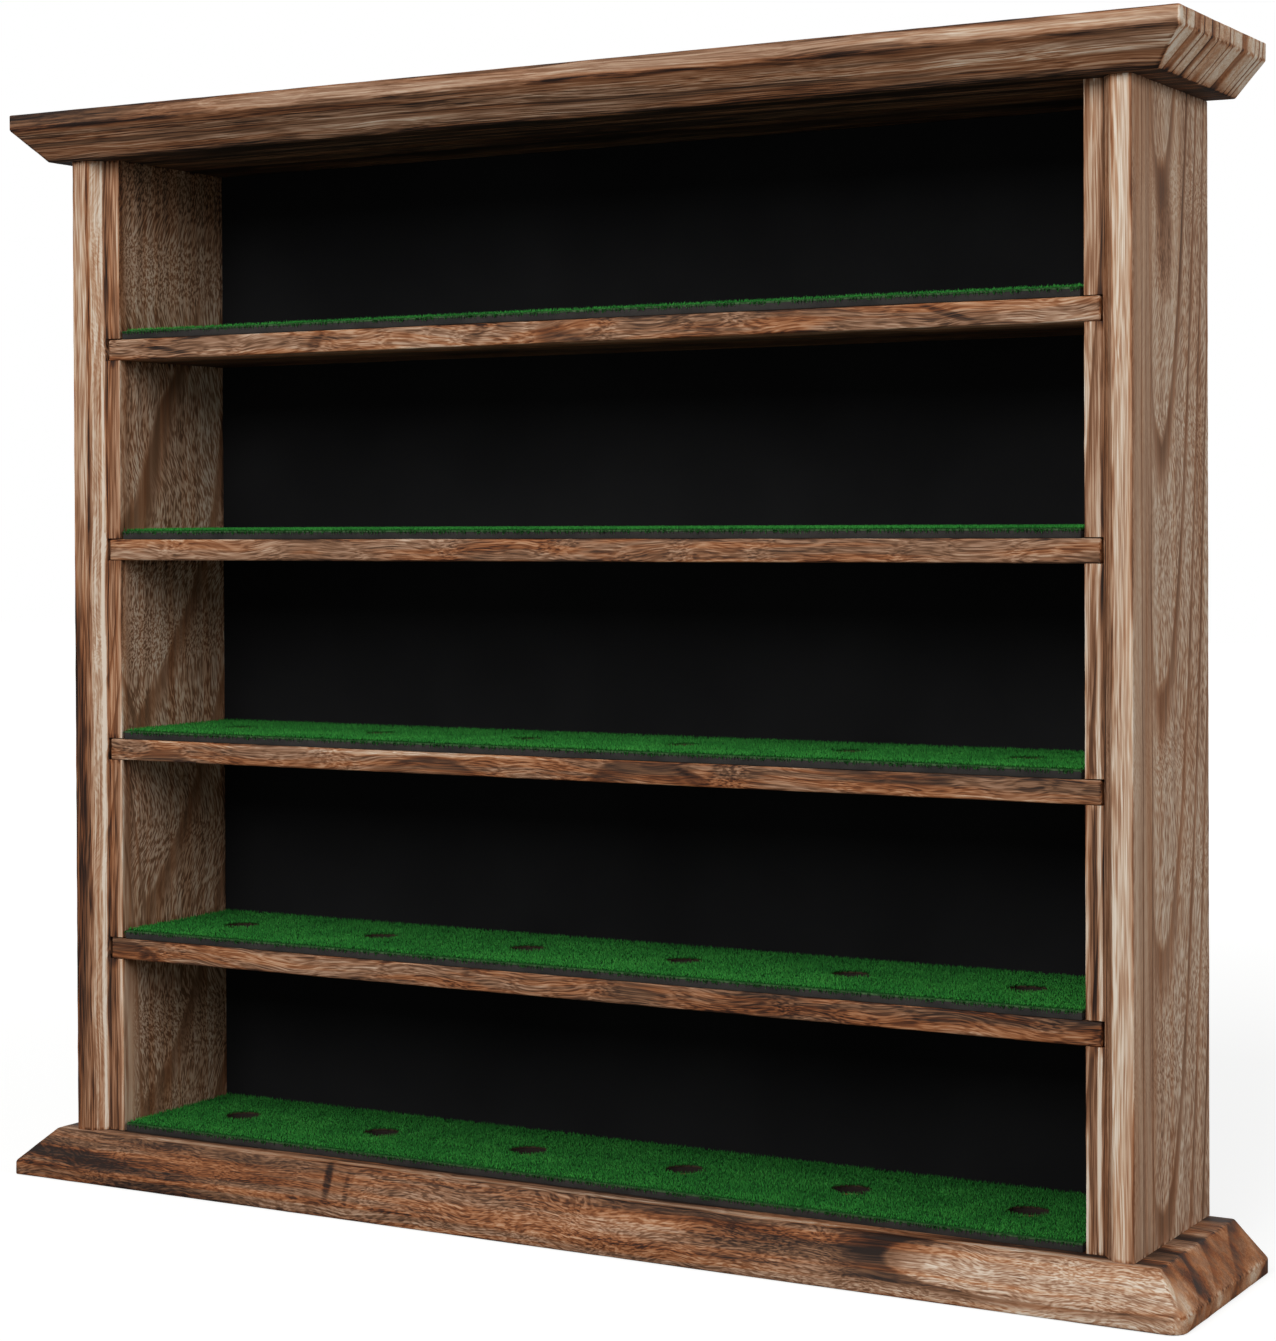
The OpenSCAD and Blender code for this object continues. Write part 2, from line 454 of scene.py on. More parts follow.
        # Fibres, and pores: long grooves on quarter-sawn faces, short ticks where they dive into a
        # flat-sawn one, and most of them in the early wood
        crowd = add("Math", (early, early), **product)
        calm = add("MapRange", (butt, 0, 1, 1, 0.35))
        streaky = add("MapRange", (flat, 0, 1, 1, self.flat_streaks))
        ticky = add("MapRange", (flat, 0, 1, self.edge_ticks, 1))
        open_pored = self.patched(add, place, ticky, self.smooth)
        crowd = add("Math", (crowd, open_pored), **clamped)
        fibre = add("MapRange", (self.noise(add, waved, FIBRE_MM, 3.0), 0.3, 0.7, -0.5, 0.5))
        pore = add("Mix", {
            0: flat, 2: self.noise(add, waved, GROOVE_MM, 1.5),
            3: self.noise(add, flowed, self.tick_mm, 1.0)})
        pore = add("MapRange", (pore, 0.36, 0.62, -0.5, 0.5), **smooth)
        pore = add("Math", (pore, crowd), **product)
        fibre, pore = (add("Math", (part, calm), **product) for part in (fibre, pore))
        fibre = add("Math", (fibre, streaky), **product)

        # Bleached stripes and scorched patches
        pale = add("MapRange", (
            self.noise(add, pushed, STRIPE_MM), 0.34, 0.66, -self.stripe_tone, self.stripe_tone),
            **smooth)
        scorched = add("MapRange", (self.noise(add, own, SCORCH_MM), 0.52, 0.66), **smooth)

        # Arrises take more flame or are rubbed pale; inner corners keep char the brush missed, and
        # painted shade
        arris, root = (
            add("Attribute", attribute_name=name).outputs["Fac"] for name in ("arris", "root"))
        scuff = add("MapRange", (
            self.noise(add, own, SCUFF_MM, 3.0), 0.38, 0.62, self.edge_tone - 0.24,
            self.edge_tone + 0.32))
        worn = add("Math", (arris, scuff), **product)

        tone = self.patched(add, bent, self.tone, self.burns_and_shade)
        for part, weight in (
            (late, -self.late_dark), (growth, self.year_tone), (fibre, self.streaks),
            (pore, self.ticks), (pale, 1.0), (scorched, -self.scorch), (worn, 1.0),
            (root, -self.corner_char_and_shade), (butt, self.end_tone), (line, -self.end_dark),
        ):
            tone = add("Math", (part, weight, tone), **sums)
        brown, rusty = (
            add("ValToRGB", {"Fac": tone}, tuple(zip(TONES, codes))) for codes in (BROWNS, RUSTS))
        blush = add("MapRange", (
            self.noise(add, pushed, BLUSH_MM), 0.42, 0.62, self.edge_rust,
            self.rust + self.edge_rust), **smooth)
        for part, weight in (
            (arris, self.arris_rust), (butt, self.end_rust), (flat, -self.edge_rust),
        ):
            blush = add("Math", (part, weight, blush), use_clamp=True, **sums)
        colour = add("Mix", {0: blush, 6: brown, 7: rusty}, data_type="RGBA")
        rough = add("MapRange", (tone, 0, 1, 0.6, 0.85))
        relief = add("Bump", {"Strength": 0.6, "Distance": self.relief_mm * MM, "Height": tone})
        surface_of(add, Base_Color=colour.outputs[2], Roughness=rough, Normal=relief,
                   Specular_IOR_Level=0.12)
        return material


@dataclass(frozen=True)
class BlackBoard:
    """Thin hardboard rolled with matt black paint, which gives a faint orange-peel grain."""

    name: str = "Matt black painted hardboard"
    peel_mm: float = 1.4
    cloud_mm: float = 60.0

    def material(self) -> bpy.types.Material:
        """Builds the panel's material.

        Returns:
            The material.
        """
        material, add, spot = new_material(self.name)
        (peel,) = mottle(add, spot, self.peel_mm, 2.0)
        _, colour = mottle(add, spot, self.cloud_mm, 3.0, ((0.3, "#131314"), (0.7, "#1b1b1c")))
        rough = add("MapRange", (peel, 0, 1, 0.82, 0.98))
        relief = add("Bump", {"Strength": 0.25, "Distance": 0.1 * MM, "Height": peel})
        surface_of(add, Base_Color=colour, Roughness=rough, Normal=relief, Specular_IOR_Level=0.05)
        return material


@dataclass(frozen=True)
class FoamRubber:
    """Closed-cell EVA foam sheet, die cut: charcoal, matt, with fine open cells on its cut edge.

    Attributes:
        front: Where the front edge lies, in metres; the cut edges behind it are painted dark as
            painted shade.
        name: The material's name.
        cell_mm: Size of a foam cell.
        dust_mm: Size of the patches that dust draws.
    """

    front: float
    name: str = "Charcoal EVA foam"
    cell_mm: float = 0.7
    dust_mm: float = 9.0

    def material(self) -> bpy.types.Material:
        """Builds the foam's material.

        Returns:
            The material.
        """
        material, add, spot = new_material(self.name)
        cells = add("TexVoronoi", {"Vector": spot, "Scale": 1 / (self.cell_mm * MM)})
        _, dusty = mottle(add, spot, self.dust_mm, 4.0, ((0.3, "#1f1e1d"), (0.62, "#302d2b")))
        # Painted shade: the foam's cut edges behind the front, chiefly the seat holes, are made
        # dark
        colour = shaded_cuts(add, spot, dusty, self.front, "#1d1511")
        relief = add("Bump", {
            "Strength": 0.4, "Distance": 0.12 * MM, "Height": cells.outputs["Distance"]})
        surface_of(add, Base_Color=colour, Roughness=0.9, Normal=relief, Specular_IOR_Level=0.25)
        return material


@dataclass(frozen=True)
class TurfFibre:
    """Polypropylene putting turf: short crimped fibres, painted darker at the root as painted shade
    within the pile, and bright at the tip.

    Each blade has its own shade, from the attribute that the pile is made with.

    Attributes:
        front: Where the front edge lies, in metres; the pile is painted brighter there than behind,
            as painted shade deeper in the bay.
        name: The material's name.
        patch_mm: Size of the patches in which the pile lies differently.
        shade_depth_mm: How far back that painted shade dims the pile.
    """

    front: float
    name: str = "Green polypropylene turf pile"
    patch_mm: float = 14.0
    shade_depth_mm: float = 45.0

    def material(self) -> bpy.types.Material:
        """Builds the pile's material.

        Returns:
            The material.
        """
        material, add, spot = new_material(self.name)
        shade, tip = (
            add("Attribute", attribute_name=name).outputs["Fac"] for name in ("shade", "tip"))
        (patch,) = mottle(add, spot, self.patch_mm, 3.0)
        mixed = add("Math", (patch, 0.7, shade), operation="MULTIPLY_ADD")
        green = add("ValToRGB", {"Fac": mixed}, (
            (0.15, "#17581f"), (0.55, "#288b31"), (0.95, "#4bb047")))
        # Painted shade: the pile dims from its front edge towards the back of the bay
        depth = add("SeparateXYZ", (spot,)).outputs["Y"]
        back_shade = add("MapRange", (depth, self.front, self.front + self.shade_depth_mm * MM, 1, 0.7))
        # Painted shade within the pile: each fibre dims from its tip down to its root
        deep = add("MapRange", (tip, 0, 1, 0.42, 1))
        deep = add("Math", (deep, back_shade), operation="MULTIPLY")
        colour = add("Mix", {0: 1.0, 6: green, 7: deep}, data_type="RGBA", blend_type="MULTIPLY")
        surface_of(add, Base_Color=colour.outputs[2], Roughness=0.7, Specular_IOR_Level=0.2)
        return material


@dataclass(frozen=True)
class TurfBacking:
    """Latex-coated woven backing of the turf, olive at its cut edge and green where fibres root.

    Attributes:
        front: Where the front edge lies, in metres; the seat holes behind it are painted dark as
            painted shade.
        name: The material's name.
        thread_mm: Width of a thread.
    """

    front: float
    name: str = "Latex turf backing"
    thread_mm: float = 1.1

    def material(self) -> bpy.types.Material:
        """Builds the backing's material.

        Returns:
            The material.
        """
        material, add, spot = new_material(self.name)
        _, green, olive = mottle(
            add, spot, self.thread_mm, 2.0, ((0.3, "#0e3a14"), (0.7, "#1a5a20")),
            ((0.3, "#1c3a1b"), (0.7, "#43603c")))
        # Painted shade: the backing's cut edges behind the front, chiefly the seat holes, are made
        # dark
        olive = shaded_cuts(add, spot, olive, self.front, "#33281a")
        facing = add("NewGeometry").outputs["Normal"]
        upward = add("SeparateXYZ", (facing,)).outputs["Z"]
        top = add("MapRange", (upward, 0.4, 0.8))
        colour = add("Mix", {0: top, 6: olive, 7: green}, data_type="RGBA")
        surface_of(add, Base_Color=colour.outputs[2], Roughness=0.85, Specular_IOR_Level=0.2)
        return material


@dataclass(frozen=True)
class ZincSteel:
    """Zinc-plated steel wire and screws: dull blue-grey metal with a crystalline mottle."""

    name: str = "Zinc-plated steel"
    crystal_mm: float = 1.5

    def material(self) -> bpy.types.Material:
        """Builds the fixings' material.

        Returns:
            The material.
        """
        material, add, spot = new_material(self.name)
        crystals, colour = mottle(
            add, spot, self.crystal_mm, 3.0, ((0.35, "#8f9296"), (0.65, "#b9bcc0")))
        rough = add("MapRange", (crystals, 0, 1, 0.3, 0.5))
        surface_of(add, Base_Color=colour, Roughness=rough, Metallic=1.0)
        return material


@dataclass(frozen=True)
class BareDowel:
    """Turned birch dowel, unfinished: pale, close-grained and matt."""

    name: str = "Turned birch"
    pore_mm: tuple[float, float] = (9.0, 0.6)

    def material(self) -> bpy.types.Material:
        """Builds the dowels' material.

        Returns:
            The material.
        """
        material, add, spot = new_material(self.name)
        long, wide = (size * MM for size in self.pore_mm)
        cells = add("Mapping", {"Vector": spot, "Scale": (1 / wide, 1 / wide, 1 / long)})
        grain = add("TexNoise", {"Vector": cells, "Scale": 1.0, "Detail": 3.0})
        colour = add("ValToRGB", {"Fac": grain}, ((0.3, "#b08a5c"), (0.7, "#d6b98c")))
        surface_of(add, Base_Color=colour, Roughness=0.7)
        return material


class Bench:
    """Edits one mesh by hand: parts are picked by their place, and operators shape them."""

    def __init__(self, piece: bpy.types.Object) -> None:
        """Takes the piece to work on."""
        self.piece = piece

    def __enter__(self) -> "Bench":
        """Selects the piece alone and enters edit mode."""
        only(self.piece)
        bpy.ops.object.mode_set(mode="EDIT")
        return self

    def __exit__(self, *trouble: object) -> None:
        """Leaves edit mode."""
        bpy.ops.object.mode_set(mode="OBJECT")

    def pick(self, kind: Pick, test: Callable[[object], bool]) -> None:
        """Selects the corners, edges or faces that pass a test.

        Args:
            kind: What to select.
            test: Takes a BMesh corner, edge or face.
        """
        bpy.context.tool_settings.mesh_select_mode = kind.value
        bpy.ops.mesh.select_all(action="DESELECT")
        mesh = bmesh.from_edit_mesh(self.piece.data)
        parts = {Pick.CORNERS: mesh.verts, Pick.EDGES: mesh.edges, Pick.FACES: mesh.faces}[kind]
        for part in [p for p in parts if test(p)]:
            part.select_set(True)
        bmesh.update_edit_mesh(self.piece.data)

    def slice(self, point: Vector, normal: Vector) -> None:
        """Cuts every face that crosses the plane through a point, square to a normal."""
        bpy.ops.mesh.select_all(action="SELECT")
        bpy.ops.mesh.bisect(plane_co=point, plane_no=normal)

    def slice_at(self, axis: int, *places: float) -> None:
        """Cuts every face that crosses planes square to an axis.

        Args:
            axis: 0, 1 or 2 for X, Y or Z.
            places: Where the planes cross that axis.
        """
        normal = Vector((axis == 0, axis == 1, axis == 2))
        for place in places:
            self.slice(normal * place, normal)

    def slices(self, axis: int, low: float, high: float, step: float, margin: float) -> None:
        """Cuts the mesh into even cells up to a step wide, with a margin at each end."""
        count = max(1, math.ceil((high - low - 2 * margin) / step))
        self.slice_at(axis, *np.linspace(low + margin, high - margin, count + 1).tolist())


def only(piece: bpy.types.Object) -> None:
    """Selects one object alone and makes it the active one.

    Args:
        piece: The object.
    """
    bpy.ops.object.select_all(action="DESELECT")
    piece.select_set(True)
    bpy.context.view_layer.objects.active = piece


def primitive(name: str, operator: Callable[..., set], **settings: object) -> bpy.types.Object:
    """Adds a primitive, as the start of a piece.

    Args:
        name: The new object's name.
        operator: What adds the primitive.
        settings: That operator's settings.

    Returns:
        The object, with its place in its mesh.
    """
    bpy.ops.object.select_all(action="DESELECT")
    operator(**settings)
    piece = bpy.context.object
    piece.name = piece.data.name = name
    bpy.ops.object.transform_apply(location=True, rotation=True, scale=True)
    return piece


def block(name: str, low: Vector, high: Vector) -> bpy.types.Object:
    """Adds a cube primitive that fills the box between two corners."""
    return primitive(name, bpy.ops.mesh.primitive_cube_add, size=1, location=(low + high) / 2,
                     scale=high - low)


def add_object(name: str, data: bpy.types.ID) -> bpy.types.Object:
    """Puts new data into the scene.

    Args:
        name: The new object's name.
        data: Its mesh, lamp or camera.

    Returns:
        The object.
    """
    made = bpy.data.objects.new(name, data)
    bpy.context.scene.collection.objects.link(made)
    return made


def apply_modifier(piece: bpy.types.Object, kind: str, **settings: object) -> None:
    """Adds a modifier to a piece, sets it and applies it.

    Args:
        piece: The object to change.
        kind: Blender's name for the modifier type.
        settings: The modifier's properties.
    """
    only(piece)
    bpy.ops.object.modifier_add(type=kind)
    modifier = piece.modifiers[-1]
    for name, value in settings.items():
        setattr(modifier, name, value)
    bpy.ops.object.modifier_apply(modifier=modifier.name)


def cut_away(piece: bpy.types.Object, cutter: bpy.types.Object) -> None:
    """Takes the cutter's space out of a piece and removes the cutter."""
    apply_modifier(piece, "BOOLEAN", operation="DIFFERENCE", solver="EXACT", object=cutter)
    bpy.data.objects.remove(cutter)


def rippled(piece: bpy.types.Object, cell_mm: float, strength_mm: float,
            **settings: object) -> None:
    """Moves a piece's surface in and out by soft noise.

    Args:
        piece: The object to change.
        cell_mm: Size of a ripple.
        strength_mm: How far the noise moves the surface.
        settings: The Displace modifier's other properties.
    """
    texture = bpy.data.textures.new(piece.name + " ripples", "CLOUDS")
    texture.noise_scale = cell_mm * MM
    apply_modifier(piece, "DISPLACE", texture=texture, strength=strength_mm * MM, **settings)


def smoothed(piece: bpy.types.Object) -> None:
    """Shades a piece smooth, apart from its sharp edges."""
    only(piece)
    bpy.ops.object.shade_smooth_by_angle(angle=SOFT)


def dress(piece: bpy.types.Object, material: bpy.types.Material) -> None:
    """Gives a piece one material all over."""
    piece.data.materials.clear()
    piece.data.materials.append(material)


def joined(pieces: list[bpy.types.Object]) -> bpy.types.Object:
    """Joins pieces into the first one.

    Args:
        pieces: The objects to join.

    Returns:
        The first object, which now holds them all.
    """
    only(pieces[0])
    for piece in pieces:
        piece.select_set(True)
    bpy.ops.object.join()
    return pieces[0]


def creases(piece: bpy.types.Object) -> tuple[np.ndarray, np.ndarray]:
    """Finds a mesh's sharp edges.

    Args:
        piece: A mesh object, before its arrises are eased.

    Returns:
        The ends of its outer arrises and of its inner corners, each as an array (n, 2, 3).
    """
    mesh = bmesh.new()
    mesh.from_mesh(piece.data)
    mesh.normal_update()
    found = {True: [], False: []}
    for edge in mesh.edges:
        turn = edge.calc_face_angle_signed(0.0)
        if abs(turn) > SHARP:
            found[turn > 0].append([list(v.co) for v in edge.verts])
    mesh.free()
    return tuple(np.array(found[side], float).reshape(-1, 2, 3) for side in (True, False))


def nearness(points: np.ndarray, edges: np.ndarray, reach: float) -> np.ndarray:
    """Says how near each point is to the nearest edge.

    Args:
        points: Places, as (n, 3).
        edges: Ends of straight edges, as (m, 2, 3).
        reach: Distance at which nearness falls to about a third.

    Returns:
        A share for each point, 1 on an edge and 0 far from all.
    """
    nearest = np.full(len(points), 1.0)
    for start, end in edges:
        run = end - start
        share = np.clip((points - start) @ run / max(run @ run, 1e-18), 0, 1)
        gap = np.linalg.norm(points - start - share[:, None] * run, axis=1)
        nearest = np.minimum(nearest, gap)
    return np.exp(-((nearest / reach) ** 2))


def points_of(piece: bpy.types.Object) -> np.ndarray:
    """Reads a mesh's corners.

    Args:
        piece: A mesh object.

    Returns:
        Their places, as (n, 3).
    """
    points = np.zeros(len(piece.data.vertices) * 3)
    piece.data.vertices.foreach_get("co", points)
    return points.reshape(-1, 3)


def write_share(piece: bpy.types.Object, name: str, shares: np.ndarray) -> None:
    """Stores one number for each corner of a mesh, for its material to read."""
    attribute = piece.data.attributes.new(name, "FLOAT", "POINT")
    attribute.data.foreach_set("value", np.asarray(shares, np.float32))


def hand_over(piece: bpy.types.Object, slot: str, *nodes: str) -> None:
    """Lets a finished piece ride on the case and stand for its CAD nodes.

    Args:
        piece: The finished object.
        slot: Name of a material slot; not used.
        nodes: CAD nodes that the piece stands for.
    """
    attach(piece, BODY)
    if nodes:
        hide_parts(*nodes)
    log.info("%s: %d faces, stands for %s", piece.name, len(piece.data.polygons), nodes)


@dataclass
class Board:
    """A wooden piece: how its arrises are eased and worn, and how fine its mesh is.

    Attributes:
        finish: Its wood.
        ease_mm: Radius of its sanded arrises.
        wear_mm: Depth of the wear on them.
        dent_mm: Length of a dent in them.
        cell_mm: Largest width of a mesh cell.
        long_cell_mm: Largest length of one, along the grain.
        margin_mm: Width of the cells beside an arris.
        arris_reach_mm: How far from an outer arris its wear fades.
        char_and_shade_reach_mm: The same for the char and painted shade in an inner corner.
    """

    finish: BurntWood
    ease_mm: float = 0.5
    wear_mm: float = 0.14
    dent_mm: float = 7.0
    cell_mm: float = 4.0
    long_cell_mm: float = 5.0
    margin_mm: float = 1.0
    arris_reach_mm: float = 0.55
    char_and_shade_reach_mm: float = 0.8

    def work(self, piece: bpy.types.Object,
             arrises: tuple[tuple[Vector, Vector], ...] = ()) -> None:
        """Eases, wears and dresses a shaped board.

        Args:
            piece: The board with all its cuts, sharp-edged.
            arrises: A point and a normal for each plane with an arris inside the board's box.
        """
        outer, inner = creases(piece)
        apply_modifier(piece, "BEVEL", width=self.ease_mm * MM, segments=3, limit_method="ANGLE",
                       angle_limit=SHARP)
        low, high = points_of(piece).min(0), points_of(piece).max(0)
        with Bench(piece) as bench:
            for axis in (0, 1, 2):
                along = axis == self.finish.grain.value
                step = self.long_cell_mm if along else self.cell_mm
                bench.slices(axis, low[axis], high[axis], step * MM, self.margin_mm * MM)
            for point, normal in arrises:
                for side in (-1, 1):
                    bench.slice(point + side * self.margin_mm * MM * normal, normal)
        near = nearness(points_of(piece), outer, self.arris_reach_mm * MM)
        group = piece.vertex_groups.new(name="worn")
        for number, share in enumerate(near):
            group.add([number], float(share), "REPLACE")
        rippled(piece, self.dent_mm, -2 * self.wear_mm, mid_level=0.3, vertex_group="worn")
        piece.vertex_groups.clear()
        points = points_of(piece)
        write_share(piece, "arris", nearness(points, outer, self.arris_reach_mm * MM))
        # This share paints char and painted shade into the inner corners
        write_share(piece, "root", nearness(points, inner, self.char_and_shade_reach_mm * MM))
        smoothed(piece)
        dress(piece, self.finish.material())


@dataclass
class BevelledBoard(Board):
    """Crown or base board: a square lip, then a bevel on the front and both ends.

    Attributes:
        node: The CAD node that it stands for.
        lip_mm: Height of the lip.
        run_mm: Width of the bevel.
        upward: Whether the bevel lies above the lip, as on the base.
        soft_corner_mm: Radius of the sanded front right corner.
    """

    node: str = "base_board"
    lip_mm: float = 4.4
    run_mm: float = 9.4
    upward: bool = True
    soft_corner_mm: float = 1.0

    def build(self) -> None:
        """Models the board from a slab as high as its lip."""
        low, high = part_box(self.node)
        lip, run = self.lip_mm * MM, self.run_mm * MM
        rise = (high.z - low.z - lip) * (1 if self.upward else -1)
        slab_low, slab_high = low.copy(), high.copy()
        if self.upward:
            slab_high.z = low.z + lip
        else:
            slab_low.z = high.z - lip
        arris_z = slab_high.z if self.upward else slab_low.z
        piece = block("bevelled_" + self.node, slab_low, slab_high)
        with Bench(piece) as bench:
            bench.pick(Pick.FACES, lambda f: f.normal.z * rise > SQUARE * abs(rise))
            bpy.ops.mesh.extrude_region_move(TRANSFORM_OT_translate={"value": (0, 0, rise)})
            far_z = arris_z + rise
            for test, move in (
                (lambda v: v.co.x < low.x + NEAR, (run, 0, 0)),
                (lambda v: v.co.x > high.x - NEAR, (-run, 0, 0)),
                (lambda v: v.co.y < low.y + NEAR, (0, run, 0)),
            ):
                bench.pick(Pick.CORNERS, lambda v, t=test: abs(v.co.z - far_z) < NEAR and t(v))
                bpy.ops.transform.translate(value=move)
            bench.pick(Pick.EDGES, lambda e: all(
                v.co.x > high.x - NEAR and v.co.y < low.y + NEAR for v in e.verts))
            bpy.ops.mesh.bevel(offset=self.soft_corner_mm * MM, segments=4)
        across = Vector((0, 0, 1))
        mitres = [Vector((side, 1, 0)).normalized() for side in (-1, 1)]
        corners = [Vector((low.x, low.y, 0)), Vector((high.x, low.y, 0))]
        inner = Vector((0, low.y + run, arris_z))
        self.work(piece, (
            *zip(corners, mitres), (inner, across), (inner, Vector((0, 1, 0)))))
        hand_over(piece, "burnt_wood", self.node)


@dataclass
class SidePanel(Board):
    """Upright panel with a routed front step, shelf grooves and a rebate for the back panel.

    Attributes:
        side: -1 for the left panel, 1 for the right one.
        outer_flat_mm: Width of the front edge left at full depth.
        step_run_mm: Width of the slanted step beside it.
        groove_gap_mm: How far a groove runs past its shelf's end.
        groove_play_mm: Its play above the shelf.
        rebate_gap_mm: Gap beside the back panel in its rebate.
    """

    side: int = 1
    outer_flat_mm: float = 5.7
    step_run_mm: float = 3.9
    groove_gap_mm: float = 0.7
    groove_play_mm: float = 0.2
    rebate_gap_mm: float = 0.3

    def build(self) -> None:
        """Models the panel from a slab as deep as the space in front of the back panel."""
        node = "left_side" if self.side < 0 else "right_side"
        low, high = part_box(node)
        back_low, back_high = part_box("back_panel")
        shelf_low, shelf_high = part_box("shelf_1")
        outer = max(abs(low.x), abs(high.x))
        step_out = outer - self.outer_flat_mm * MM
        step_in = step_out - self.step_run_mm * MM
        rebate = back_high.x + self.rebate_gap_mm * MM
        step_depth = shelf_low.y - low.y
        piece = block("stepped_" + node, low, Vector((high.x, back_low.y, high.z)))
        with Bench(piece) as bench:
            bench.slice_at(0, self.side * step_in, self.side * step_out)
            bench.pick(Pick.CORNERS, lambda v: v.co.y < low.y + NEAR
                       and abs(v.co.x) < step_in + NEAR)
            bpy.ops.transform.translate(value=(0, step_depth, 0))
            bench.slice_at(0, self.side * rebate)
            bench.pick(Pick.FACES, lambda f: f.normal.y > SQUARE
                       and abs(f.calc_center_median().x) > rebate)
            bpy.ops.mesh.extrude_region_move(
                TRANSFORM_OT_translate={"value": (0, high.y - back_low.y, 0)})
        inner = min(abs(low.x), abs(high.x))
        groove = shelf_high.x + self.groove_gap_mm * MM
        for row in SHELF_ROWS:
            box_low, box_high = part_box(f"shelf_{row}")
            left, right = sorted((self.side * (inner - MM), self.side * groove))
            cut_away(piece, block(
                "groove", Vector((left, low.y - MM, box_low.z)),
                Vector((right, high.y + MM, box_high.z + self.groove_play_mm * MM))))
        along = Vector((1, 0, 0))
        self.work(piece, tuple((self.side * x * along, along) for x in (step_in, step_out)))
        hand_over(piece, "burnt_wood", node)


@dataclass
class Shelf(Board):
    """Shelf board that stands in the side panels' grooves.

    Attributes:
        row: Which shelf it is, from the top.
    """

    row: int = 1

    def build(self) -> None:
        """Models the shelf from a slab."""
        node = f"shelf_{self.row}"
        piece = block("eased_" + node, *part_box(node))
        self.work(piece)
        hand_over(piece, "shelf_wood", node)


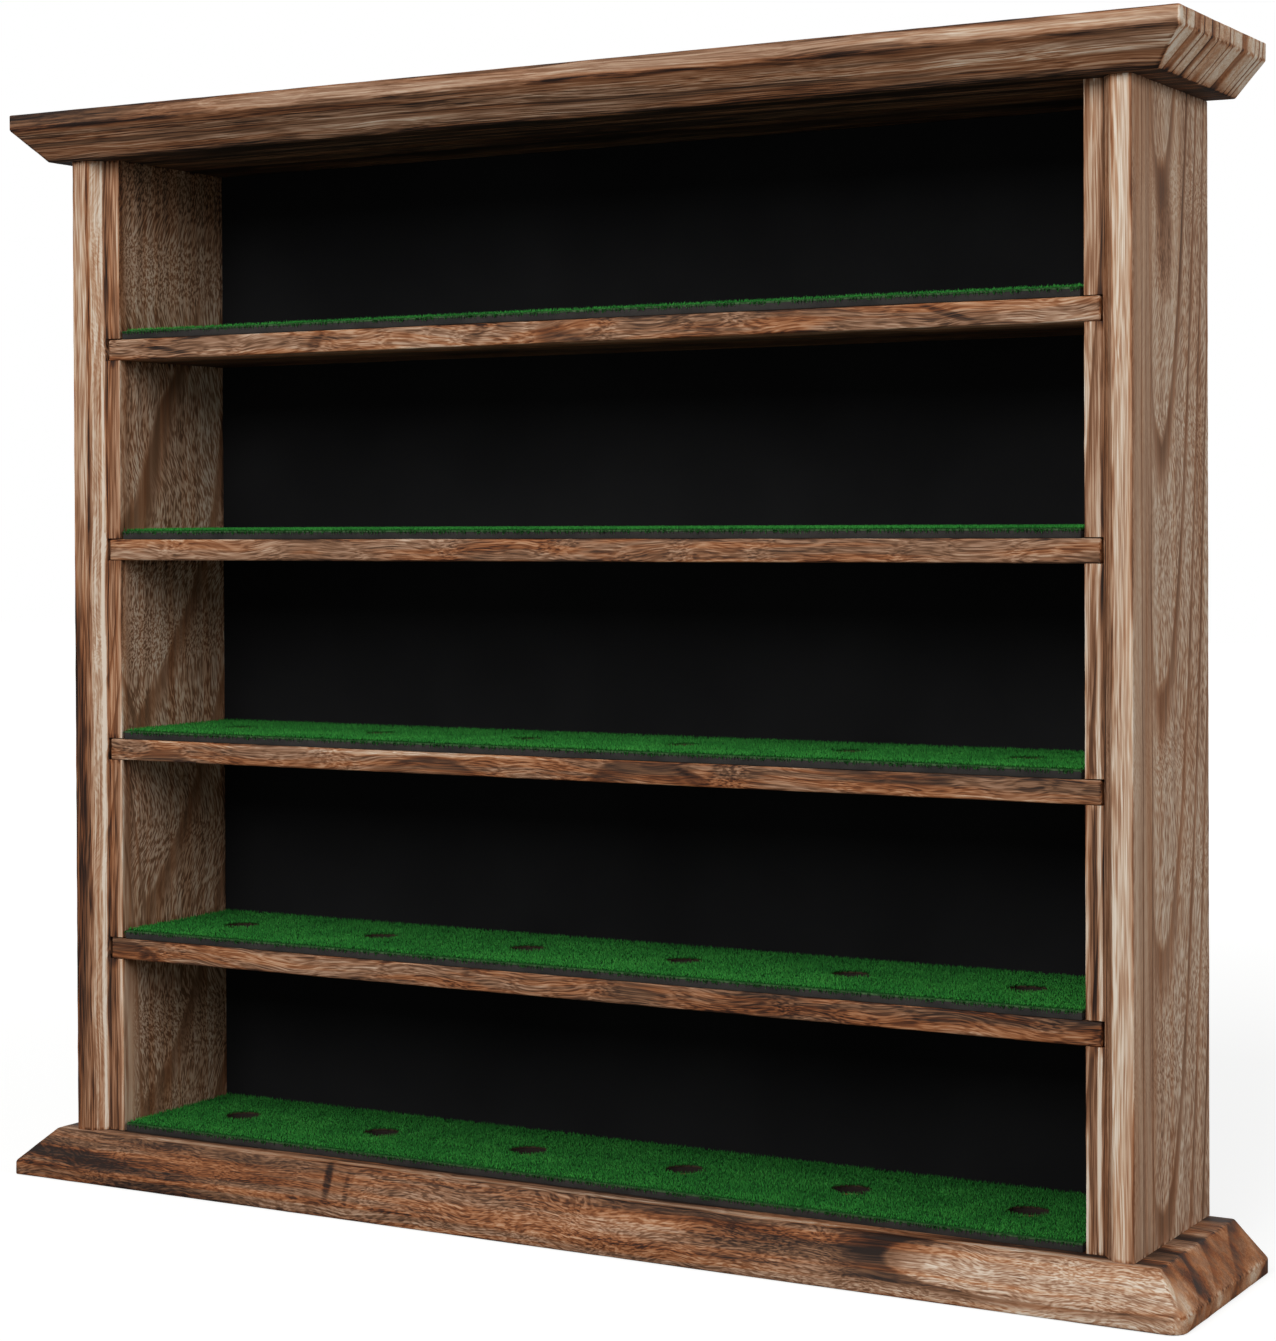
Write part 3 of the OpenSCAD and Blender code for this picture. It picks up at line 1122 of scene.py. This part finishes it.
@dataclass
class SeatStrips:
    """A row's floor: a foam strip under a turf strip, with the same round seat holes.

    Attributes:
        row: Which row it is, from the top.
        seats: Number of seat holes.
        hole_mm: Their diameter.
        backing_mm: Thickness of the turf's backing.
        blades: Number of fibres in the pile.
        blade_mm: Length of a fibre.
        fibre_mm: Width of a fibre at its root.
        crimp: How far its tip leans, as a share of its length.
        lengths: Least and greatest share of that length that a fibre has.
        leans: The same for its crimp.
        shades: Least and greatest number for a fibre's own shade.
        root_mm: How deep the fibres root in the backing.
        creep_mm: How far they reach into a seat hole.
        fringe_mm: How far from the front edge the fibres hang over it.
        fringe_out_mm: How far before that edge their roots lie.
        fringe_lean_mm: How far their tips stand off it.
        foam_ease_mm: Radius of the foam's cut edges.
        foam_waver_mm: How far they stray.
        foam_waver_cell_mm: Over what length.
        seed: Starts the pile's random numbers.
    """

    row: int
    seats: int = 6
    hole_mm: float = 12.5
    backing_mm: float = 0.5
    blades: int = 48000
    blade_mm: float = 1.15
    fibre_mm: float = 0.36
    crimp: float = 0.45
    lengths: tuple[float, float] = (0.7, 1.15)
    leans: tuple[float, float] = (0.0, 1.6)
    shades: tuple[float, float] = (0.0, 0.5)
    root_mm: float = 0.1
    creep_mm: float = 0.6
    fringe_mm: float = 0.6
    fringe_out_mm: float = 0.15
    fringe_lean_mm: float = 0.3
    foam_ease_mm: float = 0.25
    foam_waver_mm: float = 0.5
    foam_waver_cell_mm: float = 25.0
    seed: int = 7

    def holes(self) -> np.ndarray:
        """Places the seat holes.

        Returns:
            Their centres, as (n, 2).
        """
        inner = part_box("right_side")[0].x
        pitch = 2 * inner / self.seats
        y = (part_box("shelf_1")[0].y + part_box("back_panel")[0].y) / 2
        return np.array([((i - (self.seats - 1) / 2) * pitch, y) for i in range(self.seats)])

    def punched(self, name: str, low: Vector, high: Vector) -> bpy.types.Object:
        """Models a flat strip with the seat holes cut through it.

        Args:
            name: The piece's name.
            low: Lowest corner.
            high: Highest corner.

        Returns:
            The strip.
        """
        strip = block(name, low, high)
        for x, y in self.holes():
            cut_away(strip, primitive(
                "punch", bpy.ops.mesh.primitive_cylinder_add, vertices=40,
                radius=self.hole_mm * MM / 2, depth=3 * (high.z - low.z),
                location=(x, y, (low.z + high.z) / 2)))
        return strip

    def foam(self) -> None:
        """Models the foam strip, with soft cut edges."""
        node = f"foam_strip_{self.row}"
        low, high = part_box(node)
        strip = self.punched("cut_" + node, low, high)
        apply_modifier(strip, "BEVEL", width=self.foam_ease_mm * MM, segments=2,
                       limit_method="ANGLE")
        with Bench(strip) as bench:
            bench.slices(0, low.x, high.x, 4 * MM, MM)
        rippled(strip, self.foam_waver_cell_mm, self.foam_waver_mm, mid_level=0.5, direction="Y")
        smoothed(strip)
        dress(strip, FoamRubber(low.y).material())
        hand_over(strip, "black_foam", node)

    def blade(self) -> bpy.types.Object:
        """Models one fibre: a three-sided spike, hooked over at its tip.

        Returns:
            The fibre.
        """
        height = self.blade_mm * MM
        fibre = primitive(
            "fibre", bpy.ops.mesh.primitive_cone_add, vertices=3, radius1=self.fibre_mm * MM / 2,
            radius2=0, depth=height, location=(0, 0, height / 2))
        with Bench(fibre) as bench:
            bench.pick(Pick.CORNERS, lambda v: v.co.z > height / 2)
            bpy.ops.transform.translate(value=(self.crimp * height, 0, 0))
        return fibre

    def pile(self, low: Vector, high: Vector) -> bpy.types.Object:
        """Plants the pile: one modelled fibre copied all over the backing.

        Args:
            low: Lowest corner of the turf's space.
            high: Highest corner of the turf's space.

        Returns:
            The pile, with each fibre's shade and height stored for its material.
        """
        fibre = self.blade()
        shape = points_of(fibre)
        faces = [list(f.vertices) for f in fibre.data.polygons]
        loops = np.array([c for face in faces for c in face])
        sizes = np.array([len(face) for face in faces])
        bpy.data.objects.remove(fibre)
        rng = np.random.default_rng(self.seed + self.row)
        spots = rng.uniform((low.x, low.y), (high.x, high.y), (self.blades, 2))
        clear = (self.hole_mm / 2 - self.creep_mm) * MM
        for hole in self.holes():
            spots = spots[np.linalg.norm(spots - hole, axis=1) > clear]
        count = len(spots)
        turn = rng.uniform(0, 2 * math.pi, count)
        size = rng.uniform(*self.lengths, count)
        hook = rng.uniform(*self.leans, count)
        fringe = spots[:, 1] < low.y + self.fringe_mm * MM
        local = np.repeat(shape[None], count, 0)
        share = shape[:, 2] / shape[:, 2].max()
        local[:, :, 0] += share * (hook - 1)[:, None] * self.crimp * self.blade_mm * MM
        local[:, :, 2] *= np.where(fringe, -size, size)[:, None]
        cos, sin = np.cos(turn)[:, None], np.sin(turn)[:, None]
        x = local[:, :, 0] * cos - local[:, :, 1] * sin + spots[:, :1]
        y = local[:, :, 0] * sin + local[:, :, 1] * cos + spots[:, 1:]
        front = low.y - self.fringe_out_mm * MM - self.fringe_lean_mm * MM * share
        y = np.where(fringe[:, None], front, y)
        z = local[:, :, 2] + low.z + self.backing_mm * MM - self.root_mm * MM
        points = np.stack([x, y, z], axis=2).reshape(-1, 3)
        corners = len(shape)
        mesh = bpy.data.meshes.new("pile")
        mesh.vertices.add(len(points))
        mesh.vertices.foreach_set("co", points.ravel().astype(np.float32))
        mesh.loops.add(count * len(loops))
        mesh.loops.foreach_set("vertex_index", (
            loops[None] + corners * np.arange(count)[:, None]).ravel().astype(np.int32))
        starts = np.concatenate([[0], np.cumsum(np.tile(sizes, count))[:-1]])
        mesh.polygons.add(count * len(faces))
        mesh.polygons.foreach_set("loop_start", starts.astype(np.int32))
        mesh.update(calc_edges=True)
        made = add_object("pile", mesh)
        write_share(made, "shade", np.repeat(rng.uniform(*self.shades, count), corners))
        write_share(made, "tip", np.tile(share, count))
        return made

    def turf(self) -> None:
        """Models the turf strip: its backing, and the pile that stands on it."""
        node = f"turf_strip_{self.row}"
        low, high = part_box(node)
        backing = self.punched("piled_" + node, low,
                               Vector((high.x, high.y, low.z + self.backing_mm * MM)))
        pile = self.pile(low, high)
        dress(backing, TurfBacking(low.y).material())
        dress(pile, TurfFibre(low.y).material())
        hand_over(joined([backing, pile]), "green_turf", node)

    def build(self) -> None:
        """Models both strips."""
        self.foam()
        self.turf()


@dataclass
class BackPanel:
    """Black panel let into the side panels' rebates.

    Attributes:
        ease_mm: Width of its sanded arrises.
    """

    ease_mm: float = 0.3

    def build(self) -> None:
        """Models the panel from a thin slab."""
        low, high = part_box("back_panel")
        high.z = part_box("top_board")[0].z
        piece = block("black_back_panel", low, high)
        apply_modifier(piece, "BEVEL", width=self.ease_mm * MM, segments=2)
        dress(piece, BlackBoard().material())
        hand_over(piece, "black_back", "back_panel")


@dataclass
class Fixings:
    """Screws, nails and dowels: CAD nodes that keep their shape and get their finish."""

    def build(self) -> None:
        """Dresses the nodes."""
        zinc, birch = ZincSteel().material(), BareDowel().material()
        for node, material in (
            ("base_screws", zinc), ("back_nails", zinc), ("top_dowels", birch),
        ):
            dress(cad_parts[node], material)
            log.info("%s: dressed in %s", node, material.name)


@dataclass(frozen=True)
class SoftBox:
    """A square studio lamp.

    Attributes:
        name: The lamp's name.
        place: Where it stands, in metres.
        across: Its width in metres.
        watts: Its power.
    """

    name: str
    place: tuple[float, float, float]
    across: float
    watts: float

    def build(self, aim: Vector) -> None:
        """Adds the lamp.

        Args:
            aim: The point that it is turned to.
        """
        data = bpy.data.lights.new(self.name, "AREA")
        data.shape = "SQUARE"
        data.size = self.across
        data.energy = self.watts
        lamp = add_object(self.name, data)
        lamp.location = self.place
        lamp.rotation_euler = (aim - Vector(self.place)).to_track_quat("-Z", "Y").to_euler()


@dataclass
class Studio:
    """The photograph's camera, a pale floor and soft light.

    The camera was fitted to the case's corners in the photograph, and stands to the right at
    about mid-height. Its focal length is that of a 36 mm sensor along the picture's long side.

    Attributes:
        camera_mm: Where the camera stands.
        azimuth_deg: How far it is turned to the left from looking along Y.
        down_deg: How far it looks down.
        roll_deg: How far it is rolled.
        focal_px: Focal length in pixels of the photograph.
        middle_px: Where its line of sight meets the picture.
        sensor_mm: Length of its sensor.
        floor_m: Length and width of the floor.
        floor_gap_mm: How far it lies under the case.
        floor_colour: Its colour.
        fade_m: Distances from the case between which the floor brightens to white.
        near_glow: How bright it looks under the case.
        fill: Strength of the light from all round.
    """

    camera_mm: tuple[float, float, float] = (427.54, -741.67, 204.60)
    azimuth_deg: float = 30.117
    down_deg: float = 0.588
    roll_deg: float = -0.247
    focal_px: float = 2921.2
    middle_px: tuple[float, float] = (584.3, 553.6)
    sensor_mm: float = 36.0
    floor_m: float = 8.0
    floor_gap_mm: float = 0.2
    floor_colour: str = "#9a9a98"
    fade_m: tuple[float, float] = (0.2, 1.4)
    near_glow: float = 0.8
    fill: float = 0.25

    def camera(self) -> None:
        """Adds the camera and makes it the scene's own."""
        data = bpy.data.cameras.new("camera")
        long_side = max(PICTURE_W, PICTURE_H)
        data.sensor_width = self.sensor_mm
        data.lens = data.sensor_width * self.focal_px / long_side
        data.shift_x = (PICTURE_W / 2 - self.middle_px[0]) / long_side
        data.shift_y = (self.middle_px[1] - PICTURE_H / 2) / long_side
        camera = add_object("camera", data)
        turn = (Matrix.Rotation(math.radians(self.azimuth_deg), 4, "Z")
                @ Matrix.Rotation(math.radians(90 - self.down_deg), 4, "X")
                @ Matrix.Rotation(math.radians(self.roll_deg), 4, "Z"))
        camera.matrix_world = Matrix.Translation(Vector(self.camera_mm) * MM) @ turn
        bpy.context.scene.camera = camera

    def floor(self) -> None:
        """Adds the floor: pale, white to the camera far off, and keeping the case's shadow."""
        floor = primitive("floor", bpy.ops.mesh.primitive_plane_add, size=self.floor_m,
                          location=(0, 0, -self.floor_gap_mm * MM))
        material, add, spot = new_material("Pale studio floor")
        paper = add("BsdfDiffuse", {"Color": linear(self.floor_colour)})
        away = add("VectorMath", (spot,), operation="LENGTH").outputs["Value"]
        lift = add("MapRange", (away, *self.fade_m, self.near_glow),
                   interpolation_type="SMOOTHSTEP")
        seen = add("Math", (add("LightPath").outputs["Is Camera Ray"], lift), operation="MULTIPLY")
        glow = add("Emission", {"Color": WHITE, "Strength": seen})
        add("OutputMaterial", {"Surface": add("AddShader", (paper, glow))})
        dress(floor, material)
        floor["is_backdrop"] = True

    def world(self) -> None:
        """Makes the world white where it is seen, and a plain fill where it lights."""
        world = bpy.data.worlds.new("studio")
        world.use_nodes = True
        world.node_tree.nodes.clear()
        add = partial(add_node, world.node_tree)
        path = add("LightPath").outputs
        seen = path["Is Camera Ray"]
        for ray in ("Is Glossy Ray", "Is Transmission Ray"):
            seen = add("Math", (seen, path[ray]), operation="MAXIMUM")
        fill, white = (add("Background", (WHITE, strength)) for strength in (self.fill, 1.0))
        add("OutputWorld", {"Surface": add("MixShader", (seen, fill, white))})
        bpy.context.scene.world = world

    def build(self) -> None:
        """Sets up the camera, floor, world and lamps."""
        self.camera()
        self.floor()
        self.world()
        aim = sum(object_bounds(), Vector()) / 2
        for lamp in (
            SoftBox("key", (0.0, -1.6, 1.25), 1.2, 29.0),
            SoftBox("side", (1.8, -0.4, 0.7), 0.7, 10.0),
        ):
            lamp.build(aim)
        bpy.context.scene.view_settings.view_transform = "Standard"


def wooden_pieces() -> list[BevelledBoard | SidePanel | Shelf]:
    """Lists the boards, each with its own figure.

    Returns:
        The boards, ready to build.
    """
    crown = BurntWood(
        "Burnt paulownia, crown", Grain.ALONG_X, flat=1, pith=(0, 190, 300), ring_mm=6.6,
        late_from=0.5, drift_mm=2.0, shift_mm=11, tone=0.5, tick_mm=(4.5, 0.45), ticks=0.34,
        flow_mm=4.0, flow_cell_mm=(40.0, 12.0), streaks=0.42, rust=0.5, end_tone=0.36,
        end_lines=2.1, end_dark=0.5, end_rust=0.4, uneven=2.4,
        burns_and_shade=(
            Patch((-10, -37, 331.6), (240, 5, 3.7), 0.3),
            Patch((165, -37, 331.6), (110, 5, 3.7), 0.36),
            Patch((-175, -37, 331.6), (60, 5, 5), -0.2),
            Patch((30, -36, 328.4), (330, 4, 1.1), -0.12),
            Patch((-92, -33, 326.4), (125, 7, 2.4), -0.26),
            Patch((-50, -31, 322.4), (46, 6, 0.8), 0.22),
            Patch((-140, -31, 324), (90, 6, 8), -0.07),
            Patch((160, -32, 324), (80, 6, 6), 0.14),
            # The crown's whole underside is made darker: painted shade under the crown
            Patch((0, 0, 316), (700, 160, 7), -0.4),
        ))
    base = BurntWood(
        "Burnt paulownia, base", Grain.ALONG_X, flat=1, flat_from=0.6, pith=(0, 59.4, -79.7),
        ring_mm=11.0, late_from=0.5, drift_mm=1.4, shift_mm=67, tone=0.37, edge_tone=-0.1,
        late_dark=0.46, flow_mm=7.0, flow_cell_mm=(30.0, 18.0), tick_mm=(2.7, 0.5), ticks=0.28,
        wave_mm=4.0, streaks=0.34, rust=0.85,
        end_lines=1.0, end_dark=0.0, end_tone=0.06,
        swells=(
            Patch((150, -31, 9.8), (74, 60, 11), 7.0),
            Patch((0, -31, 9), (112, 60, 40), -3.5),
            Patch((-150, -31, 9), (90, 60, 40), -3.0),
        ),
        quiet=(Patch((190, 0, 9), (13, 60, 14), -0.6),),
        smooth=(
            Patch((-130, -31, 9), (75, 60, 40), -0.3),
            Patch((-74, -31, 10), (9, 12, 12), -0.6),
            Patch((108, -31, 9), (12, 12, 10), -0.7),
            Patch((44, -28, 13), (40, 4, 4), -0.6),
        ),
        burns_and_shade=(
            Patch((160, -32, 8), (70, 12, 14), 0.36),
            Patch((-150, -32, 8), (90, 12, 14), -0.14),
            Patch((0, -32, 8), (110, 12, 14), -0.03),
            Patch((-166, -33, 7), (34, 10, 3), -0.24, (0, 4, 0)),
            Patch((-165, -29, 12), (44, 6, 3), 0.16, (0, 4, 0)),
            Patch((-118, -31, 9), (26, 12, 6), 0.1, (0, 8, 0)),
            Patch((-74, -31, 10), (1.8, 12, 9), -0.3, (0, -24, 0)),
            Patch((124, -31, 9.6), (20, 12, 8), 0.2),
            Patch((-66, -31, 8), (1.2, 12, 8), -0.16, (0, -24, 0)),
            Patch((44, -28, 13), (44, 4, 3.4), -0.24, (0, 2, 0)),
            Patch((30, -31, 9), (34, 12, 4), 0.1, (0, -5, 0)),
            Patch((0, -36, 1.8), (400, 2, 3), 0.1),
            Patch((187, 0, 9), (9, 60, 14), 0.06),
            Patch((0, -25, 14.4), (400, 2.2, 1.2), 0.28),
            Patch((187, -12, 9), (8, 9, 9), -0.12),
            Patch((187, 18, 9), (8, 11, 9), -0.14),
            Patch((191, 24, 3), (3, 9, 5), 0.3),
            Patch((191, -8, 3), (3, 6, 4), 0.26),
            Patch((180, -4, 14.4), (7, 6, 1.5), 0.3),
            Patch((180, 15, 14.4), (7, 5, 1.5), 0.24),
        ))
    left = BurntWood(
        "Burnt paulownia, left side", Grain.ALONG_Z, flat=0, pith=(-438.0, -28, 166),
        lean=(0.08, 0), ring_mm=-5.0, late_from=0.7, drift_mm=0.3, shift_mm=131, tone=0.565,
        tick_mm=(3.6, 0.62), ticks=0.42, flow_mm=22.0, flow_cell_mm=(55.0, 160.0),
        late_dark=0.26, rust=0.4, scorch=0.06, flat_streaks=0.3, edge_ticks=0.7,
        edge_rust=0.3,
        swells=(
            Patch((-159, 0, 275), (200, 80, 80), 1.7),
            Patch((-159, -28, 70), (60, 20, 120), 9.0),
        ),
        quiet=(
            Patch((-166, -27, 160), (30, 7, 1500), -0.9),
            Patch((-159, 4, 300), (6, 90, 46), -0.85),
        ),
        smooth=(
            Patch((-159, -18, 50), (3, 7, 80), -0.8),
            Patch((-159, -19, 150), (3, 4, 300), -0.6),
        ),
        burns_and_shade=(
            Patch((-159, -17.5, 40), (3, 6, 70), 0.16),
            # The top of the inner face, under the crown, is made darker: painted shade from the
            # crown's overhang
            Patch((-159, 6, 314), (3, 60, 22), -0.12),
            Patch((-171.3, -25, 262), (4, 6, 74), 0.16),
            Patch((-172.6, -25, 100), (5.6, 6, 125), -0.48),
            Patch((-168.2, -25, 240), (0.5, 2, 130), -0.25),
            Patch((-166.4, -23, 160), (2.4, 4, 500), 0.14),
            Patch((-165.3, -21.5, 110), (0.9, 1.4, 330), 0.46),
            Patch((-161.9, -20.5, 160), (1.6, 2, 500), -0.1),
            Patch((-159.7, -20.5, 160), (0.8, 1.5, 500), 0.2),
        ))
    right = BurntWood(
        "Burnt paulownia, right side", Grain.ALONG_Z, flat=0, pith=(134.4, -3, 166),
        lean=(0.0735, 0), ring_mm=-5.0, late_from=0.68, drift_mm=0.4, shift_mm=173, tone=0.66,
        scorch=0.06, ticks=0.33, tick_mm=(3.6, 0.56), late_dark=0.36, rust=0.4, flow_mm=17.0,
        flow_cell_mm=(60.0, 160.0), flat_streaks=0.3, edge_ticks=0.8, edge_rust=0.2,
        streaks=0.3, edge_tone=-0.08,
        swells=(Patch((174, -34, 160), (300, 26, 3000), 15.0),),
        quiet=(
            Patch((166, -27, 160), (30, 6, 1500), -0.9),
            Patch((174, -17, 160), (6, 12, 1500), -0.8),
        ),
        smooth=(
            Patch((174, -17, 160), (5, 13, 1500), -0.8),
            Patch((174, 6, 290), (5, 14, 60), -0.4),
        ),
        burns_and_shade=(
            Patch((174, -14, 160), (2, 8, 1500), -0.04),
            Patch((171.1, -25, 160), (3.6, 3, 500), 0.14),
            Patch((171, -25, 80), (6, 4, 120), -0.08),
            Patch((173.8, -25, 160), (0.5, 2, 500), -0.08),
            Patch((166.4, -23, 160), (2.6, 4, 500), -0.26),
            Patch((165.4, -22, 160), (0.5, 3, 500), -0.2),
            Patch((163.2, -20.5, 90), (0.9, 2, 190), 0.38),
            Patch((161.5, -20.5, 60), (1.7, 2, 190), -0.34),
            Patch((161.5, -20.5, 262), (3, 2, 80), -0.06),
            Patch((174, 0, 280), (12, 9, 22), -0.24),
            Patch((174, -17.7, 160), (3, 0.5, 500), -0.28),
            Patch((174, -10.5, 60), (3, 0.5, 300), -0.28),
            Patch((174, -14.5, 260), (3, 0.35, 190), -0.16),
        ))
    marks = {
        1: (Patch((-110, -20.4, 260), (60, 4, 5), -0.06),
            Patch((-84, -20.4, 260), (3, 4, 7), -0.2, (0, 30, 0)),
            Patch((-27, -20.4, 260), (3, 4, 7), -0.18, (0, 40, 0)),
            Patch((121, -20.4, 260), (1.2, 4, 12), -0.28, (0, -72, 0)),
            Patch((150, -20.4, 260), (18, 4, 9), 0.14),
            Patch((-140, -20.4, 259), (1.2, 4, 14), -0.22, (0, -80, 0))),
        2: (Patch((60, -20.4, 197), (130, 4, 5), -0.06),),
        3: (Patch((-60, -20.4, 137), (90, 3, 1.4), 0.3),),
        4: (Patch((60, -20.4, 71), (90, 4, 5), -0.06),
            Patch((-90, -20.4, 72), (60, 4, 3), 0.08)),
    }
    shelves = [
        BurntWood(f"Burnt paulownia, shelf {row}", Grain.ALONG_X, flat=1,
                  pith=(0, 60, 310 - 63 * row), ring_mm=5.0, shift_mm=200 + 37 * row,
                  drift_mm=6.0, drift_cell_mm=(70.0, 42.0), late_from=0.6, late_dark=0.22,
                  tone=tone, tick_mm=(7.0, 0.42), ticks=0.26, flow_mm=3.0, streaks=0.36,
                  flow_cell_mm=(26.0, 12.0), wave_mm=2.0, edge_tone=-0.14, rust=0.85,
                  # Each shelf's underside is made darker: painted shade under the shelf
                  burns_and_shade=(*marks[row], Patch((0, 12, 319 - 62.8 * row), (700, 34, 2.5), -0.28)))
        for row, tone in zip(SHELF_ROWS, (0.44, 0.47, 0.36, 0.36))
    ]
    return [
        BevelledBoard(crown, node="top_board", lip_mm=4.9, run_mm=8.6, upward=False),
        BevelledBoard(base, node="base_board", soft_corner_mm=4.5),
        SidePanel(left, side=-1),
        SidePanel(right, side=1),
        *(Shelf(finish, row=row) for row, finish in zip(SHELF_ROWS, shelves)),
    ]


def main() -> None:
    """Builds the studio and the case, piece by piece."""
    logging.basicConfig(level=logging.INFO, format="%(message)s")
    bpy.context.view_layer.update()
    Studio().build()
    for board in wooden_pieces():
        board.build()
    for row in ROWS:
        SeatStrips(row).build()
    BackPanel().build()
    Fixings().build()


if __name__ == "__main__":
    main()
